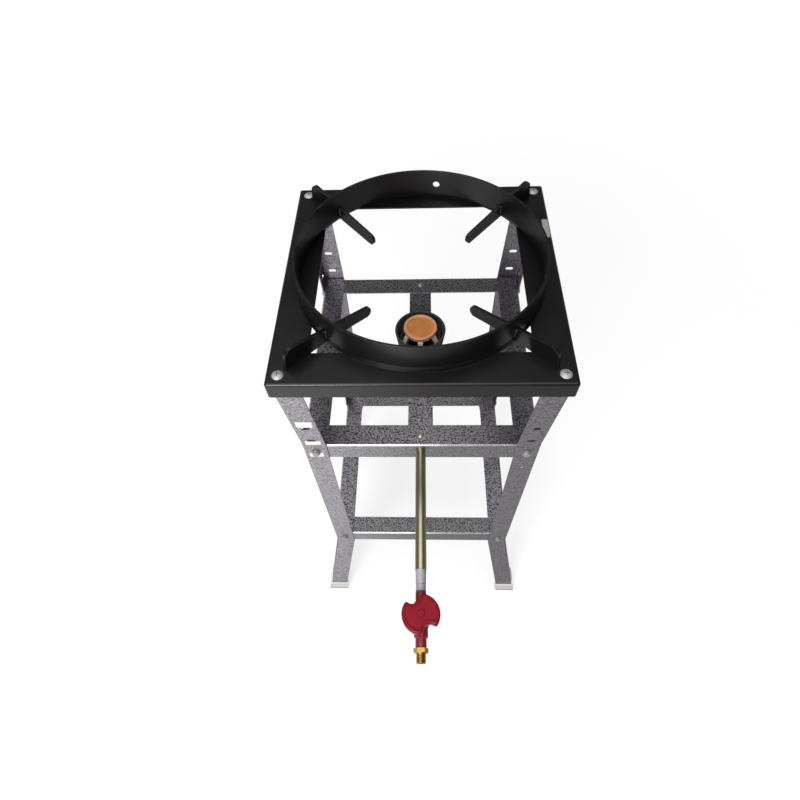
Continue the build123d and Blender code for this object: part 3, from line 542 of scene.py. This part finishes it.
def foot_cap_plastic():
    """White polyethylene foot caps: waxy, scuffed, and darker towards the floor."""
    made, tree, place = start("foot_cap_plastic")
    scuffs = add(tree, "TexNoise", {"Vector": place, "Scale": grain(6), "Detail": 5.0, "Roughness": 0.7})
    # Darker in spots towards the floor.
    height = add(tree, "SeparateXYZ", {0: place}, output="Z")
    low = add(tree, "MapRange", {"Value": height, "From Min": low_dark_height, "From Max": 0.0})
    low_darkening = add(tree, "Math", {0: low, 1: scuffs}, operation="MULTIPLY")
    darkened = add(tree, "MapRange", {"Value": low_darkening, "From Min": 0.15, "From Max": 0.5})
    colour = add(tree, "MixRGB", {"Fac": scuffs, "Color1": linear("#d9d8d6"), "Color2": linear("#ebeae8")})
    colour = add(tree, "MixRGB", {"Fac": darkened, "Color1": colour, "Color2": linear("#8a857f")})
    return shade(made, {
        "Base Color": colour,
        "Roughness": add(tree, "MapRange", {"Value": scuffs, "To Min": 0.4, "To Max": 0.6}),
        "Normal": rounded_bump(tree, scuffs, 0.05, 0.5),
    })


def finish_piece(name, grids, material, body, sharp_angle):
    """A new piece of closed shells: each grid's rows are rings, joined by quads, and faces close its ends.

    A grid that is marked as a loop joins its last ring to its first instead.
    """
    points = []
    faces = []
    base = 0
    for grid, loop in grids:
        rows, columns = grid.shape[:2]
        index = base + np.arange(rows * columns).reshape(rows, columns)
        ahead = np.roll(index, -1, axis=0)
        stop = rows if loop else rows - 1
        near = index[:stop]
        far = ahead[:stop]
        quads = np.stack([near, np.roll(near, -1, 1), np.roll(far, -1, 1), far], axis=-1)
        faces += quads.reshape(-1, 4).tolist()
        if not loop:
            faces += [index[0, ::-1].tolist(), index[-1].tolist()]
        points.append(grid.reshape(-1, 3))
        base += rows * columns
    mesh = bpy.data.meshes.new(name)
    mesh.from_pydata(np.concatenate(points).tolist(), [], faces)
    mesh.polygons.foreach_set("use_smooth", np.ones(len(mesh.polygons), dtype=bool))
    mesh.set_sharp_from_angle(angle=sharp_angle)
    mesh.materials.append(material)
    made = bpy.data.objects.new(name, mesh)
    bpy.context.scene.collection.objects.link(made)
    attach(made, body)
    return made


def weld_bead(angle, side, wall_radius_here, outward, low, high, seed):
    """A fillet bead between a fin and the ring: a quarter round carried up the corner, in crescent ripples.

    Round the corner a point lies at the bead's size in the direction that turns from the ring's wall to
    the fin's face. The size swells and falls with the ripples, drifts a little, and shrinks at both ends.
    """
    along = np.array([cos(angle), sin(angle), 0.0])
    across = np.array([-sin(angle), cos(angle), 0.0])
    corner = wall_radius_here * along + side * fin_half * across
    rise = np.linspace(0, 1, bead_rows)[:, None]
    turn = np.linspace(0, pi / 2, bead_columns)[None, :]
    height = low + rise * (high - low)
    crescent = pi * (height - bead_bow * bead_ripple * np.sin(2 * turn)) / bead_ripple
    drift = sum(share * np.sin(pace * rise + factor * seed) for share, pace, factor in bead_drifts)
    size = bead_size * (bead_valley + bead_swell * np.abs(np.sin(crescent)) + drift)
    size = size * (1 - (2 * rise - 1) ** bead_blunt) ** 0.5 + bead_tip
    beside = side * across
    away = outward * along
    arc = size[..., None] * (np.cos(turn)[..., None] * beside + np.sin(turn)[..., None] * away)
    root = np.broadcast_to(-bead_root * (beside + away), (bead_rows, 1, 3))
    ring = np.concatenate([arc, root], axis=1) + corner
    ring[..., 2] += height
    return ring if side * outward > 0 else ring[:, ::-1]


def fin_welds(material):
    """The sixteen beads that hold the four fins in the ring, inside and outside."""
    ring_low, ring_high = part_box("wok_ring")
    outer = ring_high.x - ring_foot_flare
    inner = outer - ring_sheet
    low = ring_low.z + ring_foot_height
    high = ring_low.z + fin_ring_height
    grids = []
    for number, angle in enumerate(fin_angles):
        for side in (-1, 1):
            seed = 5 * number + 2 * side
            grids.append((weld_bead(radians(angle), side, outer, 1, low, high, seed), False))
            grids.append((weld_bead(radians(angle), side, inner, -1, low, high, seed + 1), False))
    return finish_piece("fin_welds", grids, material, "pot_support", radians(60))


def threaded_inlet(material):
    """The inlet adapter with its cut thread: a profile turned about the pipe's axis.

    The radius of a ring is the bore, the inner spigot, the hexagon (its flat distance divided by the
    cosine of the angle from the flat's middle, cut by the chamfer's cone) or the thread (the outside
    radius less a rounded tooth that climbs one pitch in each turn).
    """
    low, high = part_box("inlet_adapter")
    centre = Vector(((low.x + high.x) / 2, high.y, (low.z + high.z) / 2))
    valve_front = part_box("valve_body")[0].y
    back = high.y - valve_front
    length = high.y - low.y
    turn = np.arange(turn_columns) * 2 * pi / turn_columns
    hex_end = back + adapter_hex
    corner = adapter_flats / 3 ** 0.5
    from_flat = (turn % (pi / 3)) - pi / 6
    six_sides = adapter_flats / 2 / np.cos(from_flat)
    face = adapter_flats / 2 - adapter_face_edge
    cone_start = hex_end - (corner - face) * np.tan(hex_chamfer)
    hex_places = np.concatenate([[back], np.linspace(cone_start, hex_end, hex_rows)])
    cone = face + (hex_end - hex_places) / np.tan(hex_chamfer)
    hex_rings = np.minimum(six_sides[None, :], cone[:, None])
    tooth_places = np.linspace(hex_end, length, thread_rows)
    climb = 2 * pi * tooth_places[:, None] / thread_pitch + turn[None, :]
    fade = np.clip((tooth_places - hex_end) / thread_pitch, 0, 1)[:, None]
    teeth = thread_radius - thread_depth * (0.5 - 0.5 * np.cos(climb)) * fade
    end_cone = thread_radius - np.clip(tooth_places - (length - thread_chamfer), 0, None)
    teeth = np.minimum(teeth, end_cone[:, None])
    plain = np.ones((1, turn_columns))
    rings = np.concatenate([
        adapter_bore * plain, adapter_inner * plain, adapter_inner * plain,
        hex_rings, teeth, adapter_bore * plain,
    ])
    places = np.concatenate([[0, 0, back], hex_places, tooth_places, [length]])
    grid = np.empty((len(places), turn_columns, 3))
    grid[..., 0] = centre.x + rings * np.cos(turn)
    grid[..., 1] = centre.y - places[:, None]
    grid[..., 2] = centre.z + rings * np.sin(turn)
    made = finish_piece("threaded_inlet", [(grid, True)], material, "stand", radians(35))
    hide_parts("inlet_adapter")
    return made


def set_camera():
    """The camera at the photograph's place: turned by its yaw, tipped down by its pitch, then rolled."""
    right = Vector((cos(camera_yaw), sin(camera_yaw), 0))
    ahead = Vector((-sin(camera_yaw), cos(camera_yaw), 0))
    forward = cos(camera_pitch) * ahead - sin(camera_pitch) * Vector((0, 0, 1))
    upward = sin(camera_pitch) * ahead + cos(camera_pitch) * Vector((0, 0, 1))
    image_right = cos(camera_roll) * right + sin(camera_roll) * upward
    image_up = cos(camera_roll) * upward - sin(camera_roll) * right
    turn = Matrix((image_right, image_up, -forward)).transposed()
    data = bpy.data.cameras.new("camera")
    data.sensor_width = sensor_width
    data.lens = sensor_width * focal_pixels / frame_pixels
    data.shift_x = 0.5 - middle_pixels[0] / frame_pixels
    data.shift_y = middle_pixels[1] / frame_pixels - 0.5
    data.clip_end = camera_reach
    made = bpy.data.objects.new("camera", data)
    made.matrix_world = Matrix.Translation(camera_place) @ turn.to_4x4()
    bpy.context.scene.collection.objects.link(made)
    bpy.context.scene.camera = made


def set_lamp():
    """A soft tall lamp at the front left that points at the stove."""
    data = bpy.data.lights.new("left_lamp", "AREA")
    data.shape = "RECTANGLE"
    data.size = lamp_width
    data.size_y = lamp_height
    data.energy = lamp_power
    made = bpy.data.objects.new("left_lamp", data)
    made.location = lamp_place
    made.rotation_euler = (Vector(lamp_target) - Vector(lamp_place)).to_track_quat("-Z", "Y").to_euler()
    bpy.context.scene.collection.objects.link(made)


def set_floor():
    """A matt pale floor that the camera sees fade to white. Metal sees its front glow, most at the left."""
    made, tree, place = start("pale_floor")
    rays = add(tree, "LightPath").node.outputs
    across = add(tree, "SeparateXYZ", {0: place}, output="X")
    along = add(tree, "SeparateXYZ", {0: place}, output="Y")
    left = add(tree, "MapRange", {
        "Value": across, "From Min": window_across[0], "From Max": window_across[1],
        "To Min": floor_sheen, "To Max": window_glow,
    }, interpolation_type="SMOOTHSTEP")
    front = add(tree, "MapRange", {
        "Value": along, "From Min": window_along[0], "From Max": window_along[1],
    }, interpolation_type="SMOOTHSTEP")
    window = add(tree, "Math", {0: left, 1: front}, operation="MULTIPLY")
    bounced = add(tree, "Math", {
        0: rays["Is Glossy Ray"], 1: rays["Is Transmission Ray"],
    }, operation="ADD")
    mirrored = add(tree, "Math", {0: bounced, 1: window}, operation="MULTIPLY")
    away = add(tree, "VectorMath", {0: place}, output="Value", operation="LENGTH")
    seen = add(tree, "MapRange", {
        "Value": away, "From Min": floor_white[0], "From Max": floor_white[1],
        "To Min": floor_glow, "To Max": 1.0,
    }, interpolation_type="SMOOTHSTEP")
    glow = add(tree, "Math", {0: rays["Is Camera Ray"], 1: seen, 2: mirrored}, operation="MULTIPLY_ADD")
    matt = add(tree, "BsdfDiffuse", {"Color": linear("#9a9a9a")})
    light = add(tree, "Emission", {"Color": (1.0, 1.0, 1.0, 1.0), "Strength": glow})
    both = add(tree, "AddShader", {0: matt, 1: light})
    add(tree, "OutputMaterial", {"Surface": both})
    far = floor_half
    corners = [(-far, -far, 0), (far, -far, 0), (far, far, 0), (-far, far, 0)]
    mesh = bpy.data.meshes.new("floor")
    mesh.from_pydata(corners, [], [(0, 1, 2, 3)])
    mesh.materials.append(made)
    floor = bpy.data.objects.new("floor", mesh)
    bpy.context.scene.collection.objects.link(floor)


def set_sky():
    """A soft sky, bright in one direction overhead and glowing low at the back. The camera sees it white."""
    world = bpy.data.worlds.new("studio")
    world.use_nodes = True
    tree = world.node_tree
    tree.nodes.clear()
    direction = add(tree, "TexCoord", output="Generated")
    aligned = add(tree, "VectorMath", {0: direction, 1: sky_axis}, output="Value", operation="DOT_PRODUCT")
    level = add(tree, "MapRange", {
        "Value": aligned, "From Min": sky_spread[0], "From Max": sky_spread[1],
        "To Min": sky_low, "To Max": sky_high,
    }, interpolation_type="SMOOTHSTEP")
    along = add(tree, "SeparateXYZ", {0: direction}, output="Y")
    height = add(tree, "SeparateXYZ", {0: direction}, output="Z")
    behind = add(tree, "MapRange", {
        "Value": along, "From Min": rear_along[0], "From Max": rear_along[1], "To Max": rear_glow,
    }, interpolation_type="SMOOTHSTEP")
    low = add(tree, "MapRange", {
        "Value": height, "From Min": rear_height[0], "From Max": rear_height[1],
    }, interpolation_type="SMOOTHSTEP")
    level = add(tree, "Math", {0: behind, 1: low, 2: level}, operation="MULTIPLY_ADD")
    seen = add(tree, "LightPath", output="Is Camera Ray")
    shown = add(tree, "Math", {0: level, 1: seen}, operation="MAXIMUM")
    light = add(tree, "Background", {"Color": (1.0, 1.0, 1.0, 1.0), "Strength": shown})
    add(tree, "OutputWorld", {"Surface": light})
    bpy.context.scene.world = world


black = black_stove_paint()
brass = turned_brass()
finishes = {
    "black_paint": black,
    "hammertone_paint": hammertone_enamel(),
    "zinc_plate": bright_zinc(),
    "yellow_zinc_plate": yellow_zinc("yellow_zinc", 0.28, 0.36),
    "brass": brass,
    "heat_tinted_brass": heat_tinted_brass(),
    "cast_iron": cast_iron(),
    "red_lacquer": red_lacquer(),
    "red_plastic": red_moulded_plastic(),
    "stem_steel": turned_steel(),
    "packing_plastic": white_packing(),
    "gasket_rubber": gasket_rubber(),
    "foot_plastic": foot_cap_plastic(),
}
for node in nodes.values():
    node.material_slots[0].material = finishes[node.material_slots[0].material.name]
nodes["burner_crown"].material_slots[0].material = scorched_brass()
nodes["pipe_nipple"].material_slots[0].material = dull_zinc()
nodes["crossbar_screws"].material_slots[0].material = yellow_zinc("satin_yellow_zinc", 0.5, 0.6)

fin_welds(black)
threaded_inlet(brass)
set_camera()
set_lamp()
set_floor()
set_sky()

bpy.context.scene.view_settings.view_transform = "Standard"
